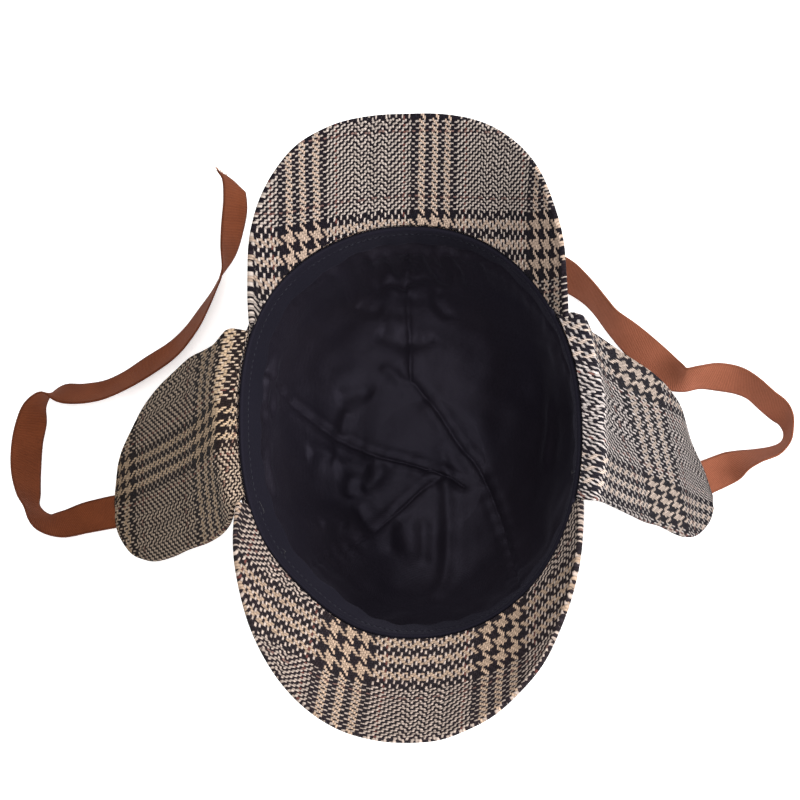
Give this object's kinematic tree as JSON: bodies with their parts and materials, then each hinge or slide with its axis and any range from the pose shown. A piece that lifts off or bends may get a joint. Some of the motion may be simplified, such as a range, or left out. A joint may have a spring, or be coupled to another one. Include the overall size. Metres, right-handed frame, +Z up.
{
  "type": "deerstalker hat",
  "caption": "Check tweed deerstalker hat lying on its crown, opening up, with two peaks, spread ear flaps, dark lining and brown tape ties.",
  "frame": {"origin": "on the floor, under the middle of the hat's box without its ties; the crown's flattened top rests at z = 0", "axes": "+Z up out of the head opening, -Y towards the front peak, +X towards the wearer's right ear flap"},
  "size_m": [0.4311, 0.3265, 0.1514],
  "materials": {
    "tweed_crown": "matt check wool",
    "tweed_peak": "matt check wool",
    "tweed_flap": "matt check wool",
    "tweed_flap_shaded": "matt check wool",
    "lining_cloth": "smooth lining cloth",
    "band_cloth": "matt band cloth",
    "tape": "ribbed tape",
    "tape_dark": "ribbed tape"
  },
  "bodies": {
    "root": {"crown": "tweed_crown", "lining": "lining_cloth", "sweatband": "band_cloth", "rear_peak": "tweed_peak", "front_peak": "tweed_peak", "left_ear_flap": "tweed_flap_shaded", "right_ear_flap": "tweed_flap", "left_tie": "tape_dark", "right_tie": "tape"}
  },
  "joints": []
}
